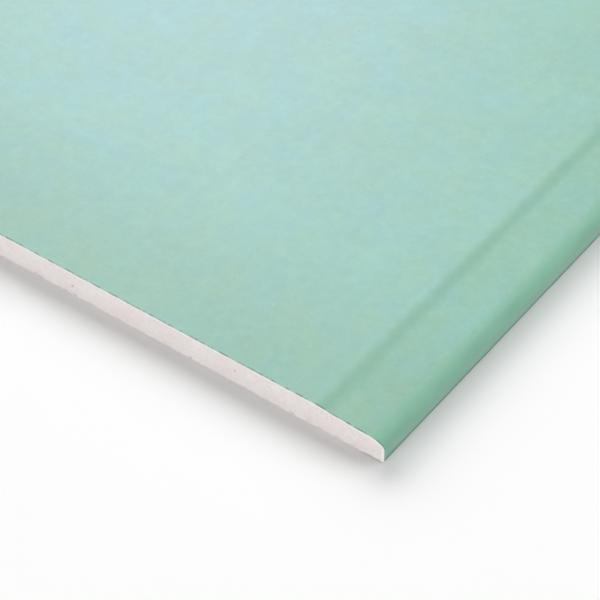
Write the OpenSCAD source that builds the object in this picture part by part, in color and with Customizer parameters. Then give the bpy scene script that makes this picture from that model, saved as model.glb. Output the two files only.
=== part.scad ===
// Moisture-resistant gypsum board, lying face up: an aerated gypsum core between two papers.
// The face paper runs round both long edges and is turned under, and the back paper laps over its flaps.
// The two short ends are cut square and leave the core bare.
// Origin: the middle of the underside. X runs across the sheet, Y along it and Z up through its thickness.

/* [Sheet] */
// Width of the sheet, from long edge to long edge
sheet_w = 1200; // [600:1:1250]
// Length of the sheet, from cut end to cut end
sheet_l = 2400; // [600:10:3600]
// Thickness of the sheet in its flat field
sheet_t = 15; // [12:0.5:25]

/* [Recessed edge] */
// Width of the recess along each long edge, for joint tape and filler
recess_w = 41; // [35:0.5:80]
// Width of the smooth ramp from the field into the recess
ramp_w = 13; // [4:0.5:24]
// Depth of the recess at the foot of the ramp
ramp_drop = 0.9; // [0.4:0.05:1.5]
// Slope of the recess from the ramp to the rounded edge, in degrees
recess_slope = 2.75; // [0:0.05:3.5]
// Width of the rounded edge, across the sheet
round_w = 9; // [3:0.5:10]
// Height of the rounded edge, as far as the edge leaves room for it
round_h = 4; // [1.5:0.25:6]
// Radius of the paper's fold at the lower edge
fold_r = 1.5; // [0.8:0.1:2.5]

/* [Paper] */
// Thickness of the face paper
face_t = 0.5; // [0.3:0.05:0.7]
// Thickness of the back paper
back_t = 0.4; // [0.3:0.05:0.7]
// Width of the face paper that is turned under each long edge
flap_w = 30; // [18:0.5:45]
// Distance from each long edge to the edge of the back paper
back_setback = 12; // [4:0.5:16]

/* [Hidden] */

// Flat facets in each curve of the section
ramp_steps = 12;
round_steps = 12;
fold_steps = 6;

half_w = sheet_w / 2;
field_x = half_w - recess_w;
recess_x = field_x + ramp_w;
flap_x = half_w - flap_w;
recess_z = sheet_t - ramp_drop;

// Centre of the fold, shared by the paper's outside and the core beneath it
fold_x = half_w - fold_r;
fold_z = back_t + fold_r;

// The rounded edge lies in the corner between the slope of the recess and the upright flat above the fold
least_flat = 1;
corner_z = recess_z - tan(recess_slope) * (half_w - recess_x);
room = corner_z - fold_z - least_flat;
round_x = half_w - round_w;
round_z = corner_z - min(round_h, room);
// How far the handles of its curve reach to that corner, for an even round
round_reach = 0.55;

// A point along the cubic curve that has the four control points p
function curve(p, u) =
    pow(1 - u, 3) * p[0] + 3 * u * pow(1 - u, 2) * p[1] + 3 * u * u * (1 - u) * p[2] + pow(u, 3) * p[3];

function arc(centre, r, from, to, steps) =
    [for (i = [0 : steps]) let (a = from + (to - from) * i / steps) centre + r * [cos(a), sin(a)]];

function reversed(points) = [for (i = [len(points) - 1 : -1 : 0]) points[i]];

// The ramp at the depth d under the paper's outside.
// It leaves the field level and runs into the recess along its slope.
function ramp(d) =
    let (
        reach = ramp_w / 2,
        top = [field_x, sheet_t - d],
        foot = [recess_x, recess_z - d / cos(recess_slope)],
        control = [top, top + [reach, 0], foot + reach * [-1, tan(recess_slope)], foot]
    )
    [for (i = [0 : ramp_steps]) curve(control, i / ramp_steps)];

// The rounded edge at the depth d, from the slope of the recess to the upright flat
function rounded(d) =
    let (
        start = [round_x, corner_z + tan(recess_slope) * round_w] - d * [sin(recess_slope), cos(recess_slope)],
        end = [half_w - d, round_z],
        corner = [half_w - d, corner_z + tan(recess_slope) * d - d / cos(recess_slope)],
        control = [start, start + round_reach * (corner - start), end + round_reach * (corner - end), end]
    )
    [for (i = [0 : round_steps]) curve(control, i / round_steps)];

// One long edge at the depth d: down the ramp and the recess, round the edge and the fold, in along the flap
function edge_line(d) = concat(
    ramp(d),
    rounded(d),
    arc([fold_x, fold_z], fold_r - d, 0, -90, fold_steps),
    [[flap_x, back_t + d]]
);

// Both long edges and the field between them, from the left flap's end to the right one's
function wrapped_line(d) =
    let (right = edge_line(d))
    concat([for (p = reversed(right)) [-p.x, p.y]], right);

// A section in X and Z, drawn out to the sheet's length
module run_of_sheet(section) {
    rotate([90, 0, 0])
        linear_extrude(height = sheet_l, center = true)
            polygon(section);
}

// The cast core fills the face paper and lies between its flaps on the back paper
module gypsum_core() {
    color([0.91, 0.87, 0.86])
        run_of_sheet(concat(wrapped_line(face_t), [[flap_x, back_t], [-flap_x, back_t]]));
}

module face_paper() {
    color([0.65, 0.81, 0.75])
        run_of_sheet(concat(wrapped_line(0), reversed(wrapped_line(face_t))));
}

module back_paper() {
    back_x = half_w - back_setback;
    color([0.72, 0.68, 0.61])
        run_of_sheet([[-back_x, 0], [back_x, 0], [back_x, back_t], [-back_x, back_t]]);
}

gypsum_core();
face_paper();
back_paper();
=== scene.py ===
# A sheet of gypsum board with green face paper, lying face up. Metres, in the part's own frame.
import math

import bpy
import numpy as np
from mathutils import Matrix, Vector


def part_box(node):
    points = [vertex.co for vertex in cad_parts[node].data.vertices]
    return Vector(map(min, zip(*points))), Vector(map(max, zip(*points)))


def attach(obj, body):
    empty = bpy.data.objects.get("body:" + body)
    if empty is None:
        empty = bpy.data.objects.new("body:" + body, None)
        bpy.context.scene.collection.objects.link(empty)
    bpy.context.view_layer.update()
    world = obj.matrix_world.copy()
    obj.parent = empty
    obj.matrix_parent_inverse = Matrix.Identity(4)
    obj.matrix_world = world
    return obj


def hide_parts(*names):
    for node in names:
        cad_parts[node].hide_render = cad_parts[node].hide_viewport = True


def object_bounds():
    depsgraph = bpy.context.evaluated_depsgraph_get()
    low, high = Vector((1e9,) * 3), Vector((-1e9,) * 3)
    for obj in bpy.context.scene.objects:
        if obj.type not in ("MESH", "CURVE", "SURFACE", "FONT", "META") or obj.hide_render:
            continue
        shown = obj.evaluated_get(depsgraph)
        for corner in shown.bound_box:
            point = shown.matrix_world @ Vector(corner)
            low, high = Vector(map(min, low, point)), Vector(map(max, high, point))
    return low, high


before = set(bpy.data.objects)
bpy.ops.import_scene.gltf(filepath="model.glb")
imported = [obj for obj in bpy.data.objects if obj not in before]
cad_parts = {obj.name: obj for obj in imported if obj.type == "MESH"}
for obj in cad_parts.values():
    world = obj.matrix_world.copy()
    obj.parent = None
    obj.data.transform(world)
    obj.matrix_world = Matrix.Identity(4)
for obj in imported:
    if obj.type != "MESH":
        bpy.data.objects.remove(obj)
cad_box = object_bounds()

# The sheet, from the frame
MM = 0.001
HALF_W, HALF_L, SHEET_T = cad_box[1]
BACK_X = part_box("back_paper")[1][0]
BACK_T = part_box("back_paper")[1][2]
FACE_T = HALF_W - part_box("gypsum_core")[1][0]

# The recessed long edge: the ramp, the sloped recess, the rounded edge, and the fold with its flap
RECESS_W = 41 * MM
RAMP_W = 13 * MM
RAMP_DROP = 0.9 * MM
RECESS_SLOPE = math.radians(2.75)
ROUND_W = 9 * MM
ROUND_H = 4 * MM
ROUND_REACH = 0.55
FOLD_R = 1.5 * MM
FLAP_W = 30 * MM

FIELD_X = HALF_W - RECESS_W
RECESS_X = FIELD_X + RAMP_W
RECESS_Z = SHEET_T - RAMP_DROP
CORNER_Z = RECESS_Z - math.tan(RECESS_SLOPE) * (HALF_W - RECESS_X)
ROUND_X = HALF_W - ROUND_W
ROUND_Z = CORNER_Z - ROUND_H
FLAP_X = HALF_W - FLAP_W
FOLD_X = HALF_W - FOLD_R
FOLD_Z = BACK_T + FOLD_R

# Mesh spacing: across the papers and the core, up the cut end, and along the sheet from each end
PAPER_STEP = 1.5 * MM
BACK_STEP = 3 * MM
CORE_STEP = 0.7 * MM
CORE_ROWS = 20
END_ROWS = 14
END_ROW = 0.5 * MM
END_GROWTH = 1.42
MID_ROW = 150 * MM
RAMP_STEPS = 16
RECESS_STEPS = 12
ROUND_STEPS = 18
UPRIGHT_STEPS = 5
FOLD_STEPS = 8
FLAP_STEPS = 12

# The core's cut end: how far it lies inside the sheet's length, and its roughness as height and width
CORE_INSIDE = 0.13 * MM
LEAST_INSIDE = 0.02 * MM
WAVE = (0.06 * MM, 9 * MM)
GRIT = (0.06 * MM, 2.2 * MM)

# The core's chips, with half the width, the height and the depth in millimetres
CHIPS = 36
CHIP_LEAST = (0.7, 0.3, 0.3)
CHIP_MOST = (2.0, 0.9, 0.7)

# The core's pits, with the least and the greatest radius, and the depth as a share of the radius
PITS = 500
PIT_RADIUS = (0.7 * MM, 1.5 * MM)
PIT_DEPTH = 0.45

# The papers' cut lines: how ragged they are, with the shares and widths of two waves
FACE_RAGGED = 0.16 * MM
BACK_RAGGED = 0.12 * MM
RAGGED_MEAN = 0.5
RAGGED_LEAST = 0.02
RAGGED_WAVE = (0.3, 6 * MM)
RAGGED_FINE = (0.25, 2 * MM)

# The papers' cut ends: how far the face paper droops, how wide each place is, and how far in that fades out
FACE_DROOP = 0.1 * MM
DROOP_WIDTH = 4 * MM
CUT_FADE = 4 * MM

# Seeds of the random draws, at the near end and at the far end
CORE_SEEDS = (10, 20)
FACE_CUT_SEEDS = (100, 150)
FACE_DROOP_SEEDS = (300, 310)
BACK_CUT_SEEDS = (200, 250)

# The tables that the noise is drawn from: cells along X, cells along Z, and cells kept free below the sheet
NOISE_CELLS = 8192
NOISE_ROWS = 128
NOISE_MARGIN = 2

# Faces that meet at more than this angle keep a sharp edge
SHARP_ANGLE = math.radians(40)

# The camera, from the straight edges in the photograph: its place is measured from the near right corner
CAMERA_FROM_CORNER = (350.4 * MM, -536.0 * MM, 718.0 * MM)
CAMERA_AZIMUTH = math.radians(36.57)
CAMERA_ELEVATION = math.radians(43.91)
CAMERA_LENS = 127.5
CAMERA_REACH = 100.0


def noise_along(x, cell, seed):
    """Smooth noise from -1 to 1 along one axis, with features about a cell wide."""
    values = np.random.default_rng(seed).uniform(-1, 1, NOISE_CELLS)
    u = np.asarray(x) / cell + NOISE_CELLS / 2
    i = np.floor(u).astype(int)
    f = u - i
    f = f * f * (3 - 2 * f)
    return values[i] * (1 - f) + values[i + 1] * f


def noise_over(x, z, cell, seed):
    """Smooth noise from -1 to 1 over the cut end's plane, with features about a cell wide."""
    values = np.random.default_rng(seed).uniform(-1, 1, (NOISE_CELLS, NOISE_ROWS))
    u = np.asarray(x) / cell + NOISE_CELLS / 2
    v = np.asarray(z) / cell + NOISE_MARGIN
    i, j = np.floor(u).astype(int), np.floor(v).astype(int)
    f, g = u - i, v - j
    f, g = f * f * (3 - 2 * f), g * g * (3 - 2 * g)
    low = values[i, j] * (1 - f) + values[i + 1, j] * f
    high = values[i, j + 1] * (1 - f) + values[i + 1, j + 1] * f
    return low * (1 - g) + high * g


# The sheet's section

def curve_points(start, start_handle, end_handle, end, steps):
    """Points along a cubic curve."""
    u = np.linspace(0, 1, steps + 1)[:, None]
    return ((1 - u) ** 3 * start + 3 * u * (1 - u) ** 2 * start_handle
            + 3 * u ** 2 * (1 - u) * end_handle + u ** 3 * end)


def ramp_points(depth, steps):
    """The ramp at a depth under the face: it leaves the field level and runs into the recess."""
    reach = RAMP_W / 2
    top = np.array([FIELD_X, SHEET_T - depth])
    foot = np.array([RECESS_X, RECESS_Z - depth / math.cos(RECESS_SLOPE)])
    knee = top + [reach, 0]
    toe = foot + reach * np.array([-1, math.tan(RECESS_SLOPE)])
    return curve_points(top, knee, toe, foot, steps)


def rounded_points(depth, steps):
    """The rounded edge at a depth, from the slope of the recess to the upright flat."""
    slope = math.tan(RECESS_SLOPE)
    inward = np.array([math.sin(RECESS_SLOPE), math.cos(RECESS_SLOPE)])
    start = np.array([ROUND_X, CORNER_Z + slope * ROUND_W]) - depth * inward
    end = np.array([HALF_W - depth, ROUND_Z])
    corner = np.array([HALF_W - depth, CORNER_Z + slope * depth - depth / math.cos(RECESS_SLOPE)])
    handles = [point + ROUND_REACH * (corner - point) for point in (start, end)]
    return curve_points(start, *handles, end, steps)


def arc_points(x, z, radius, start, end, steps):
    """Points along an arc about a centre."""
    angle = np.linspace(start, end, steps + 1)
    return np.stack([x + radius * np.cos(angle), z + radius * np.sin(angle)], axis=1)


def between(a, b, steps):
    """The points between two points, without the two themselves."""
    u = np.linspace(0, 1, steps + 1)[1:-1, None]
    return (1 - u) * a + u * b


def edge_points(depth):
    """One long edge at a depth under the paper's outside, from the field to the end of the flap."""
    ramp = ramp_points(depth, RAMP_STEPS)
    edge = rounded_points(depth, ROUND_STEPS)
    fold = arc_points(FOLD_X, FOLD_Z, FOLD_R - depth, 0, -math.pi / 2, FOLD_STEPS)
    flap_end = np.array([FLAP_X, BACK_T + depth])
    recess = between(ramp[-1], edge[0], RECESS_STEPS)
    upright = between(edge[-1], fold[0], UPRIGHT_STEPS)
    flap = between(fold[-1], flap_end, FLAP_STEPS)
    return np.concatenate([ramp, recess, edge, upright, fold, flap, flap_end[None]])


def wrapped_points(depth):
    """The whole face paper's section at a depth, from the left flap's end to the right one's."""
    right = edge_points(depth)
    left = right[::-1] * [-1, 1]
    field = between(left[-1], right[0], round(2 * FIELD_X / PAPER_STEP))
    return np.concatenate([left, field, right])


def rows_from_ends():
    """Distances along the sheet, close together at both cut ends and far apart between them."""
    near = END_ROW * (END_GROWTH ** np.arange(END_ROWS + 1) - 1)
    middle_rows = round(2 * (HALF_L - near[-1]) / MID_ROW)
    middle = np.linspace(near[-1], 2 * HALF_L - near[-1], middle_rows + 1)
    return np.concatenate([near, middle[1:-1], (2 * HALF_L - near)[::-1]])


# Meshes

def grid_faces(rows, columns, first=0):
    """Quads over a grid of vertices that starts at the vertex first."""
    index = first + np.arange(rows * columns).reshape(rows, columns)
    quads = [index[:-1, :-1], index[:-1, 1:], index[1:, 1:], index[1:, :-1]]
    return np.stack(quads, axis=-1).reshape(-1, 4)


def strip_faces(a, b):
    """Quads between two runs of vertices of equal length."""
    return np.stack([a[:-1], a[1:], b[1:], b[:-1]], axis=-1)


def make_object(name, vertices, faces, material, attributes):
    """A mesh with a material and with named values for its faces or points."""
    mesh = bpy.data.meshes.new(name)
    mesh.from_pydata(vertices.tolist(), [], faces.tolist())
    for key, (domain, values) in attributes.items():
        mesh.attributes.new(key, "FLOAT", domain).data.foreach_set("value", values)
    mesh.materials.append(material)
    mesh.update()
    mesh.shade_smooth()
    mesh.set_sharp_from_angle(angle=SHARP_ANGLE)
    piece = bpy.data.objects.new(name, mesh)
    bpy.context.collection.objects.link(piece)
    return piece


def paper_object(name, skins, core_side, trim, droop, material):
    """A sheet of paper with thickness: an upper and a lower skin, joined at the long edges and the cut ends.

    core_side tells which skin is glued to the core. trim is how far the cut line runs inside each end,
    and droop how far the paper is bent down there, both for each column. The value raw is 1 on the glued
    skin and on the cut edges, and glued runs from 0 at the outer skin to 1 at the glued one.
    """
    distance = rows_from_ends()
    rows, columns = len(distance), len(skins[0])
    fade = np.clip(1 - np.minimum(distance, 2 * HALF_L - distance) / CUT_FADE, 0, 1)[:, None] ** 2
    near = (distance < HALF_L)[:, None]
    cut = np.where(near, trim[0], -trim[1])
    bent = np.where(near, droop[0], droop[1])
    grids = []
    for section in skins:
        grid = np.empty((rows, columns, 3))
        grid[..., 0] = section[:, 0]
        grid[..., 1] = (distance - HALF_L)[:, None] + fade * cut
        grid[..., 2] = section[:, 1] - fade * bent
        grids.append(grid)
    vertices = np.concatenate(grids).reshape(-1, 3)
    upper = np.arange(rows * columns).reshape(rows, columns)
    lower = upper + rows * columns
    sides = [grid_faces(rows, columns), grid_faces(rows, columns, rows * columns)[:, ::-1]]
    walls = [strip_faces(lower[0], upper[0]), strip_faces(upper[-1], lower[-1]),
             strip_faces(upper[:, 0], lower[:, 0]), strip_faces(lower[:, -1], upper[:, -1])]
    raw = [np.full(len(side), float(k == core_side)) for k, side in enumerate(sides)]
    raw += [np.ones(len(wall)) for wall in walls]
    glued = [np.full(rows * columns, float(k == core_side)) for k in range(2)]
    attributes = {"raw": ("FACE", np.concatenate(raw)), "glued": ("POINT", np.concatenate(glued))}
    return make_object(name, vertices, np.concatenate(sides + walls), material, attributes)


def core_columns():
    """Places across the cut end, with the core's lower and upper line at each."""
    edge = edge_points(FACE_T)
    curl = rounded_points(FACE_T, ROUND_STEPS)[:, 0]
    flat = np.linspace(-curl[0], curl[0], round(2 * curl[0] / CORE_STEP) + 1)
    x = np.concatenate([-curl[:0:-1], flat, curl[1:]])
    upper_line = edge[:np.argmax(edge[:, 0]) + 1]
    upper = np.interp(np.abs(x), upper_line[:, 0], upper_line[:, 1])
    over = np.clip(np.abs(x) - FOLD_X, 0, FOLD_R - FACE_T)
    lower = FOLD_Z - np.sqrt((FOLD_R - FACE_T) ** 2 - over ** 2)
    lower = np.where(np.abs(x) < FLAP_X, BACK_T, lower)
    return x, lower, upper


def end_relief(x, z, above, seed):
    """How far the cut end lies inside the sheet's length: roughness, chips along the lower edge and pits."""
    rng = np.random.default_rng(seed)
    relief = CORE_INSIDE + WAVE[0] * noise_over(x, z, WAVE[1], seed + 1)
    relief += GRIT[0] * noise_over(x, z, GRIT[1], seed + 2)
    for chip_x in rng.uniform(-HALF_W, HALF_W, CHIPS):
        half, height, depth = rng.uniform(CHIP_LEAST, CHIP_MOST) * MM
        first, last = np.searchsorted(x[0], [chip_x - half, chip_x + half])
        across = 1 - ((x[:, first:last] - chip_x) / half) ** 2
        relief[:, first:last] += depth * across * np.clip(1 - above[:, first:last] / height, 0, 1)
    for pit_x in rng.uniform(-HALF_W, HALF_W, PITS):
        pit_z, radius = rng.uniform([BACK_T, PIT_RADIUS[0]], [SHEET_T, PIT_RADIUS[1]])
        first, last = np.searchsorted(x[0], [pit_x - radius, pit_x + radius])
        reach = np.hypot(x[:, first:last] - pit_x, z[:, first:last] - pit_z) / radius
        relief[:, first:last] += PIT_DEPTH * radius * np.clip(1 - reach ** 2, 0, 1)
    return np.clip(relief, LEAST_INSIDE, None)


def core_object(material):
    """The cast core: two worked cut ends, with plain long sides under the papers."""
    x, lower, upper = core_columns()
    rows, columns = CORE_ROWS + 1, len(x)
    share = np.linspace(0, 1, rows)[:, None]
    grid_x = np.broadcast_to(x, (rows, columns))
    grid_z = lower + share * (upper - lower)
    ends = []
    for seed, side in zip(CORE_SEEDS, (-1, 1)):
        inside = end_relief(grid_x, grid_z, grid_z - lower, seed)
        ends.append(np.stack([grid_x, side * (HALF_L - inside), grid_z], axis=-1))
    vertices = np.concatenate(ends).reshape(-1, 3)
    near = np.arange(rows * columns).reshape(rows, columns)
    far = near + rows * columns
    sides = [strip_faces(far[0], near[0]), strip_faces(near[-1], far[-1]),
             strip_faces(near[:, 0], far[:, 0]), strip_faces(far[:, -1], near[:, -1])]
    cuts = [grid_faces(rows, columns), grid_faces(rows, columns, rows * columns)[:, ::-1]]
    depth = np.minimum(upper - grid_z, HALF_W - FACE_T - np.abs(grid_x)).reshape(-1)
    attributes = {"depth": ("POINT", np.tile(depth, 2))}
    return make_object("gypsum_core_cast", vertices, np.concatenate(cuts + sides), material, attributes)


# Materials

def add(tree, kind, inputs=None, **settings):
    """A node with its settings, its input values and its links."""
    node = tree.nodes.new(kind)
    for key, value in settings.items():
        setattr(node, key, value)
    for socket, value in (inputs or {}).items():
        if isinstance(value, bpy.types.NodeSocket):
            tree.links.new(value, node.inputs[socket])
        else:
            node.inputs[socket].default_value = value
    return node


def new_material(name):
    """A material with an empty principled shader, and the place on the object as its coordinates."""
    material = bpy.data.materials.new(name)
    material.use_nodes = True
    tree = material.node_tree
    shader = tree.nodes["Principled BSDF"]
    place = add(tree, "ShaderNodeTexCoord").outputs["Object"]
    return material, tree, shader, place


def noise(tree, place, scale, detail, stretch=(1, 1, 1), turn=0.0):
    """Noise with features about 1 / scale metres wide, drawn out by stretch."""
    turned = add(tree, "ShaderNodeMapping", {"Vector": place, "Rotation": (0, 0, turn), "Scale": stretch})
    texture = add(tree, "ShaderNodeTexNoise",
                  {"Vector": turned.outputs["Vector"], "Scale": scale, "Detail": detail, "Roughness": 0.6})
    return texture.outputs["Fac"]


def math_node(tree, operation, *values):
    return add(tree, "ShaderNodeMath", dict(enumerate(values)), operation=operation).outputs["Value"]


def fit(tree, value, low, high, to_low=0.0, to_high=1.0, smooth=False):
    """A value mapped from one range to another and held inside it."""
    kind = "SMOOTHSTEP" if smooth else "LINEAR"
    inputs = {"Value": value, "From Min": low, "From Max": high, "To Min": to_low, "To Max": to_high}
    return add(tree, "ShaderNodeMapRange", inputs, interpolation_type=kind, clamp=True).outputs["Result"]


def mix(tree, factor, a, b, blend="MIX"):
    """Two colours mixed by a factor."""
    return add(tree, "ShaderNodeMix", {0: factor, 6: a, 7: b}, data_type="RGBA", blend_type=blend).outputs[2]


def colour(r, g, b):
    return (r, g, b, 1.0)


def mapped(tree, value, *stops):
    """A colour along stops of place and colour."""
    ramp = add(tree, "ShaderNodeValToRGB", {"Fac": value})
    elements = ramp.color_ramp.elements
    while len(elements) < len(stops):
        elements.new(0.5)
    for element, (position, shade) in zip(elements, stops):
        element.position = position
        element.color = shade
    return ramp.outputs["Color"]


def bump(tree, height, distance, strength):
    """A normal with a height's relief on it."""
    inputs = {"Height": height, "Distance": distance, "Strength": strength}
    return add(tree, "ShaderNodeBump", inputs).outputs["Normal"]


def link(tree, shader, **sockets):
    """Links values to the shader's sockets, whose names are written with _ for a space."""
    for name, value in sockets.items():
        tree.links.new(value, shader.inputs[name.replace("_", " ")])


# The face paper's field, as linear red, green and blue like all colours here
FACE_DEEP = colour(0.251, 0.505, 0.393)
FACE_LIGHT = colour(0.319, 0.600, 0.476)
FACE_PALE_SPOT = colour(0.377, 0.669, 0.526)
FACE_DARK_SPOT = colour(0.217, 0.486, 0.355)

# Tints that the field is multiplied by: two hues, and painted shade towards the sheet's ends
FACE_YELLOWER = colour(1.03, 1.0, 0.945)
FACE_BLUER = colour(0.97, 1.0, 1.055)
FACE_END_SHADE = colour(0.942, 0.91, 0.86)

# The face paper's painted light and shade: shade in the crease, on the round and along the fold, light on
# the upright edge; its colour on the bend; and dark dashes at its cut lines
FACE_CREASE_SHADE = colour(0.227, 0.486, 0.355)
FACE_BEND = colour(0.284, 0.612, 0.430)
FACE_ROUND_SHADE = colour(0.210, 0.492, 0.347)
FACE_UPRIGHT_LIGHT = colour(0.373, 0.698, 0.543)
FACE_FOLD_SHADOW = colour(0.11, 0.17, 0.135)
FACE_CUT_DASHES = colour(0.09, 0.13, 0.11)

# The face paper's plies: dark and pale at the cuts, on the bend, on the upright edge, and next to the core
PLY_DARK = colour(0.06, 0.085, 0.07)
PLY_PALE = colour(0.32, 0.43, 0.37)
PLY_BENT = colour(0.32, 0.50, 0.41)
PLY_UPRIGHT = colour(0.90, 0.87, 0.84)
PLY_GLUED = colour(0.86, 0.82, 0.80)

# The gypsum's colours
GYPSUM_PINK = colour(0.92, 0.83, 0.82)
GYPSUM_CREAM = colour(0.93, 0.89, 0.865)
GYPSUM_CRUMB = colour(0.68, 0.61, 0.60)
GYPSUM_PORE_SHADE = colour(0.55, 0.48, 0.46)
GYPSUM_GRAIN = colour(0.3, 0.28, 0.27)
GYPSUM_SKIN = colour(0.95, 0.96, 0.93)

# The back paper's colours
BACK_DEEP = colour(0.40, 0.35, 0.275)
BACK_LIGHT = colour(0.54, 0.485, 0.40)
BACK_FIBRE = colour(0.62, 0.58, 0.5)
BACK_FLECK = colour(0.18, 0.16, 0.14)
DUST_DULL = colour(0.84, 0.79, 0.77)
DUST_PALE = colour(0.92, 0.88, 0.85)


def green_paper():
    """Green face paper: mottle, streaks and fibres, with painted shade at its ends, in the crease, on the
    round and along the fold, painted light on the upright edge, dark dashes and plies at its cuts.
    """
    material, tree, shader, place = new_material("green_face_paper")
    cloud = noise(tree, place, 22, 3)
    mottle = noise(tree, place, 150, 3)
    grain = noise(tree, place, 1100, 2)
    streaks = noise(tree, place, 240, 2, stretch=(1, 0.03, 1))
    tone = math_node(tree, "MULTIPLY_ADD", cloud, 0.3, math_node(tree, "MULTIPLY", mottle, 0.4))
    tone = math_node(tree, "MULTIPLY_ADD", grain, 0.2, tone)
    tone = math_node(tree, "MULTIPLY_ADD", streaks, 0.1, tone)
    paper = mapped(tree, tone, (0.30, FACE_DEEP), (0.70, FACE_LIGHT))

    hue = noise(tree, place, 48, 3)
    tint = mapped(tree, hue, (0.36, FACE_YELLOWER), (0.64, FACE_BLUER))
    paper = mix(tree, 1.0, paper, tint, "MULTIPLY")

    spots = noise(tree, place, 330, 1)
    pale_spot = fit(tree, spots, 0.64, 0.74, 0.0, 0.22, smooth=True)
    dark_spot = fit(tree, spots, 0.36, 0.27, 0.0, 0.3, smooth=True)
    paper = mix(tree, pale_spot, paper, FACE_PALE_SPOT)
    paper = mix(tree, dark_spot, paper, FACE_DARK_SPOT)
    fibres = math_node(tree, "MAXIMUM", noise(tree, place, 700, 1, (1, 0.2, 1), 0.7),
                       noise(tree, place, 700, 1, (1, 0.2, 1), -0.9))

    part = add(tree, "ShaderNodeSeparateXYZ", {"Vector": place}).outputs
    across = math_node(tree, "ABSOLUTE", part["X"])
    along = math_node(tree, "ABSOLUTE", part["Y"])
    # Painted shade: the field turns darker and yellower towards both cut ends, over the last 80 mm or so,
    # with an uneven edge
    uneven = math_node(tree, "MULTIPLY_ADD", cloud, 40 * MM, along)
    painted_end_shade = fit(tree, uneven, HALF_L - 80 * MM, HALF_L + 10 * MM, smooth=True)
    paper = mix(tree, painted_end_shade, paper, FACE_END_SHADE, "MULTIPLY")
    # Painted shade in the crease, where the ramp leaves the field
    middle = FIELD_X + RAMP_W / 2
    rise = fit(tree, across, FIELD_X, middle, smooth=True)
    fall = fit(tree, across, middle, RECESS_X, 1.0, 0.0, smooth=True)
    crease_shade = math_node(tree, "MULTIPLY", rise, fall)
    paper = mix(tree, math_node(tree, "MULTIPLY", crease_shade, 0.3), paper, FACE_CREASE_SHADE)
    bend = fit(tree, across, ROUND_X - 2 * MM, HALF_W - 1 * MM, 0.0, 0.8, smooth=True)
    bend = math_node(tree, "MULTIPLY", bend, fit(tree, part["Z"], BACK_T, FOLD_Z))
    paper = mix(tree, bend, paper, FACE_BEND)
    # Painted shade in patches on the lower part of the rounded edge
    patches = fit(tree, noise(tree, place, 60, 2, stretch=(1, 0.5, 1)), 0.38, 0.62, 0.15, 0.65)
    round_shade = math_node(tree, "MULTIPLY", fit(tree, across, HALF_W - 6 * MM, HALF_W - 2 * MM, smooth=True),
                          fit(tree, part["Z"], ROUND_Z - 1 * MM, ROUND_Z + 2 * MM, smooth=True))
    paper = mix(tree, math_node(tree, "MULTIPLY", round_shade, patches), paper, FACE_ROUND_SHADE)
    # Painted light: the upright flat of the long edge made paler and greyer
    on_edge = fit(tree, across, HALF_W - 2.5 * MM, HALF_W - 1 * MM)
    upright = fit(tree, part["Z"], ROUND_Z + 2 * MM, ROUND_Z - 1 * MM, 0.0, 0.5)
    upright_light = math_node(tree, "MULTIPLY", on_edge, upright)
    paper = mix(tree, upright_light, paper, FACE_UPRIGHT_LIGHT)
    # Painted shadow: a dark band along the lower fold of the long edge, where the sheet meets the floor
    turned_under = fit(tree, part["Z"], FOLD_Z + 2 * MM, FOLD_Z - 0.5 * MM, 0.0, 0.75, smooth=True)
    fold = math_node(tree, "MULTIPLY", on_edge, turned_under)
    paper = mix(tree, fold, paper, FACE_FOLD_SHADOW)

    # Dark dashes on the face just inside each cut line, where the ply noise is low
    ply = noise(tree, place, 180, 3, stretch=(1, 0, 0))
    cut_dashes = fit(tree, along, HALF_L - 0.9 * MM, HALF_L - 0.3 * MM)
    cut_dashes = math_node(tree, "MULTIPLY", cut_dashes, fit(tree, ply, 0.54, 0.44, 0.0, 0.7))
    paper = mix(tree, cut_dashes, paper, FACE_CUT_DASHES)
    plies = mapped(tree, ply, (0.44, PLY_DARK), (0.56, PLY_PALE))
    bent_plies = fit(tree, across, HALF_W - 12 * MM, HALF_W - 5 * MM)
    plies = mix(tree, bent_plies, plies, PLY_BENT)
    plies = mix(tree, fit(tree, part["Z"], ROUND_Z, FOLD_Z), plies, PLY_UPRIGHT)
    glued = add(tree, "ShaderNodeAttribute", attribute_name="glued").outputs["Fac"]
    plies = mix(tree, fit(tree, glued, 0.35, 0.65, 0.0, 0.9), plies, PLY_GLUED)
    raw = add(tree, "ShaderNodeAttribute", attribute_name="raw").outputs["Fac"]
    paper = mix(tree, raw, paper, plies)

    link(tree, shader, Base_Color=paper)
    link(tree, shader, Roughness=fit(tree, tone, 0.3, 0.7, 0.31, 0.37))
    shader.inputs["Specular IOR Level"].default_value = 0.5
    relief = math_node(tree, "MULTIPLY_ADD", fibres, 0.5, grain)
    link(tree, shader, Normal=bump(tree, relief, 0.1 * MM, 0.2))
    return material


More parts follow.
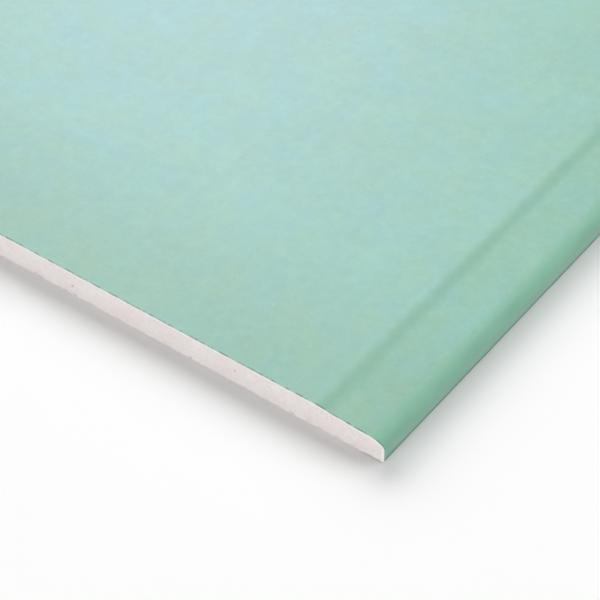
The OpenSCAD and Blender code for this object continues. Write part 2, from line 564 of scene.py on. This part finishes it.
def gypsum():
    """Aerated gypsum: off-white with a pink cast, fine pores, a few grey grains and a denser skin."""
    material, tree, shader, place = new_material("gypsum")
    cloud = noise(tree, place, 60, 3)
    crumb = noise(tree, place, 700, 4)
    base = mapped(tree, cloud, (0.36, GYPSUM_PINK), (0.64, GYPSUM_CREAM))
    base = mix(tree, fit(tree, crumb, 0.3, 0.7, 0.25, 0.0), base, GYPSUM_CRUMB)

    cells = add(tree, "ShaderNodeTexVoronoi", {"Vector": place, "Scale": 520.0})
    pore = fit(tree, cells.outputs["Distance"], 0.12, 0.3, 1.0, 0.0)
    # Painted shade in the pores
    base = mix(tree, math_node(tree, "MULTIPLY", pore, 0.22), base, GYPSUM_PORE_SHADE)

    grains = add(tree, "ShaderNodeTexVoronoi", {"Vector": place, "Scale": 130.0})
    pick = add(tree, "ShaderNodeSeparateColor", {"Color": grains.outputs["Color"]}).outputs["Red"]
    speck = math_node(tree, "MULTIPLY", fit(tree, grains.outputs["Distance"], 0.05, 0.1, 1.0, 0.0),
                      fit(tree, pick, 0.8, 0.82))
    base = mix(tree, math_node(tree, "MULTIPLY", speck, 0.7), base, GYPSUM_GRAIN)

    depth = add(tree, "ShaderNodeAttribute", attribute_name="depth").outputs["Fac"]
    across = math_node(tree, "ABSOLUTE", add(tree, "ShaderNodeSeparateXYZ", {"Vector": place}).outputs["X"])
    whole = math_node(tree, "MAXIMUM", fit(tree, across, HALF_W - 20 * MM, ROUND_X),
                      fit(tree, noise(tree, place, 90, 2, stretch=(1, 0, 0)), 0.4, 0.6, 0.15, 0.9))
    skin = math_node(tree, "MULTIPLY", whole, fit(tree, depth, 0.7 * MM, 1.7 * MM, 0.9, 0.0, smooth=True))
    base = mix(tree, skin, base, GYPSUM_SKIN)

    link(tree, shader, Base_Color=base)
    shader.inputs["Roughness"].default_value = 0.9
    shader.inputs["Specular IOR Level"].default_value = 0.25
    relief = math_node(tree, "MULTIPLY_ADD", pore, -0.6, crumb)
    link(tree, shader, Normal=bump(tree, relief, 0.25 * MM, 0.5))
    return material


def grey_paper():
    """Recycled back paper: warm grey with fibres and flecks, and gypsum dust on its cut edges."""
    material, tree, shader, place = new_material("grey_back_paper")
    cloud = noise(tree, place, 35, 4)
    mottle = noise(tree, place, 240, 4)
    tone = math_node(tree, "MULTIPLY_ADD", cloud, 0.5, math_node(tree, "MULTIPLY", mottle, 0.5))
    paper = mapped(tree, tone, (0.32, BACK_DEEP), (0.68, BACK_LIGHT))
    fibres = math_node(tree, "MAXIMUM", noise(tree, place, 420, 1, (1, 0.14, 1), 0.5),
                       noise(tree, place, 420, 1, (1, 0.14, 1), -0.5))
    paper = mix(tree, fit(tree, fibres, 0.64, 0.74, 0.0, 0.5), paper, BACK_FIBRE)
    flecks = fit(tree, noise(tree, place, 900, 1), 0.72, 0.78, 0.0, 0.6)
    paper = mix(tree, flecks, paper, BACK_FLECK)
    raw = add(tree, "ShaderNodeAttribute", attribute_name="raw").outputs["Fac"]
    dust = mapped(tree, mottle, (0.35, DUST_DULL), (0.65, DUST_PALE))
    paper = mix(tree, raw, paper, dust)
    link(tree, shader, Base_Color=paper)
    link(tree, shader, Roughness=fit(tree, tone, 0.3, 0.7, 0.75, 0.88))
    shader.inputs["Specular IOR Level"].default_value = 0.3
    link(tree, shader, Normal=bump(tree, math_node(tree, "ADD", fibres, mottle), 0.12 * MM, 0.3))
    return material


# The three pieces

def ragged_cut(x, seeds, depth):
    """How far a paper's cut line runs inside the sheet's length at each end."""
    lines = []
    for seed in seeds:
        line = RAGGED_MEAN + RAGGED_WAVE[0] * noise_along(x, RAGGED_WAVE[1], seed)
        line += RAGGED_FINE[0] * noise_along(x, RAGGED_FINE[1], seed + 1)
        lines.append(depth * np.clip(line, RAGGED_LEAST, None))
    return lines


def drooped(x, seeds, depth):
    """How far a paper is bent down at each end, in some places along it."""
    return [depth * np.clip(noise_along(x, DROOP_WIDTH, seed), 0, 1) for seed in seeds]


face_outer, face_inner = wrapped_points(0), wrapped_points(FACE_T)
face_x = face_outer[:, 0]
face_cut = ragged_cut(face_x, FACE_CUT_SEEDS, FACE_RAGGED)
on_top = face_outer[:, 1] > ROUND_Z
face_droop = [line * on_top for line in drooped(face_x, FACE_DROOP_SEEDS, FACE_DROOP)]
face_skins = (face_outer, face_inner)
face_paper = paper_object("face_paper_wrapped", face_skins, 1, face_cut, face_droop, green_paper())

back_x = np.linspace(-BACK_X, BACK_X, round(2 * BACK_X / BACK_STEP) + 1)
back_upper = np.stack([back_x, np.full_like(back_x, BACK_T)], axis=1)
back_lower = np.stack([back_x, np.zeros_like(back_x)], axis=1)
back_cut = ragged_cut(back_x, BACK_CUT_SEEDS, BACK_RAGGED)
back_droop = [np.zeros_like(back_x)] * 2
back_skins = (back_upper, back_lower)
back_paper = paper_object("back_paper_lapped", back_skins, 0, back_cut, back_droop, grey_paper())

gypsum_core = core_object(gypsum())

for piece, node, slot in ((face_paper, "face_paper", "green_face_paper"),
                          (back_paper, "back_paper", "grey_back_paper"),
                          (gypsum_core, "gypsum_core", "gypsum")):
    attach(piece, "root")
    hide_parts(node)


# The stage

FLOOR_SIZE = 80.0
FLOOR_Z = -0.05 * MM
FLOOR_WHITE = 0.97
FLOOR_GREY = 0.55
FLOOR_LIFT = 0.06


def seen_directly(tree):
    """1 for rays that the camera, a reflection or clear glass sends out."""
    path = add(tree, "ShaderNodeLightPath").outputs
    seen = math_node(tree, "MAXIMUM", path["Is Camera Ray"], path["Is Glossy Ray"])
    return math_node(tree, "MAXIMUM", seen, path["Is Transmission Ray"])


def floor_material():
    """A pale grey floor that the camera sees as white, with the sheet's shadow on it."""
    material = bpy.data.materials.new("floor")
    material.use_nodes = True
    tree = material.node_tree
    shader = tree.nodes["Principled BSDF"]
    seen = seen_directly(tree)
    tree.links.new(fit(tree, seen, 0.0, 1.0, FLOOR_GREY, FLOOR_WHITE), shader.inputs["Base Color"])
    shader.inputs["Roughness"].default_value = 1.0
    shader.inputs["Specular IOR Level"].default_value = 0.0
    shader.inputs["Emission Color"].default_value = colour(1, 1, 1)
    tree.links.new(math_node(tree, "MULTIPLY", seen, FLOOR_LIFT), shader.inputs["Emission Strength"])
    return material


def make_floor():
    """A wide plain floor, just under the sheet."""
    half = FLOOR_SIZE / 2
    mesh = bpy.data.meshes.new("floor")
    corners = [(-half, -half, 0), (half, -half, 0), (half, half, 0), (-half, half, 0)]
    mesh.from_pydata(corners, [], [(0, 1, 2, 3)])
    mesh.materials.append(floor_material())
    floor = bpy.data.objects.new("floor", mesh)
    floor.location.z = FLOOR_Z
    bpy.context.collection.objects.link(floor)


def make_world():
    """A white backdrop that gives no light of its own."""
    world = bpy.data.worlds.new("studio")
    world.use_nodes = True
    tree = world.node_tree
    background = tree.nodes["Background"]
    background.inputs["Color"].default_value = colour(1, 1, 1)
    tree.links.new(seen_directly(tree), background.inputs["Strength"])
    bpy.context.scene.world = world


def make_sun(name, azimuth, elevation, spread, level, tint=(1, 1, 1), sheen=False):
    """A wide soft lamp: azimuth is turned left from +Y, and level is its light on a face square to it.

    It gives either plain light or the sheen on the paper.
    """
    azimuth, elevation = math.radians(azimuth), math.radians(elevation)
    lamp = bpy.data.lights.new(name, "SUN")
    lamp.angle = math.radians(spread)
    lamp.energy = math.pi * level
    lamp.color = tint
    sun = bpy.data.objects.new(name, lamp)
    level_part = math.cos(elevation)
    towards = Vector((-math.sin(azimuth) * level_part, math.cos(azimuth) * level_part, math.sin(elevation)))
    sun.rotation_euler = towards.to_track_quat("Z", "Y").to_euler()
    sun.visible_glossy = sheen
    sun.visible_diffuse = not sheen
    bpy.context.collection.objects.link(sun)


def make_camera():
    """The camera at the photograph's viewing angle."""
    a, e = CAMERA_AZIMUTH, CAMERA_ELEVATION
    back = Vector((math.sin(a) * math.cos(e), -math.cos(a) * math.cos(e), math.sin(e)))
    right = Vector((math.cos(a), math.sin(a), 0))
    up = back.cross(right)
    corner = Vector((HALF_W, -HALF_L, 0))
    data = bpy.data.cameras.new("camera")
    data.lens = CAMERA_LENS
    data.clip_end = CAMERA_REACH
    camera = bpy.data.objects.new("camera", data)
    turn = Matrix((right, up, back)).transposed().to_4x4()
    camera.matrix_world = Matrix.Translation(corner + Vector(CAMERA_FROM_CORNER)) @ turn
    bpy.context.collection.objects.link(camera)
    bpy.context.scene.camera = camera


make_floor()
make_world()
make_sun("window", azimuth=45, elevation=24, spread=28, level=0.22)
make_sun("window_left", azimuth=75, elevation=24, spread=28, level=0.31)
make_sun("sky_left", azimuth=45, elevation=36, spread=44, level=0.44)
make_sun("sky_right", azimuth=-45, elevation=36, spread=44, level=0.51)
make_sun("front_fill", azimuth=180, elevation=12, spread=40, level=0.79)
make_sun("sheen", azimuth=40, elevation=34, spread=18, level=0.164, tint=(0.68, 0.49, 1.0), sheen=True)
make_camera()
bpy.context.scene.view_settings.view_transform = "Standard"
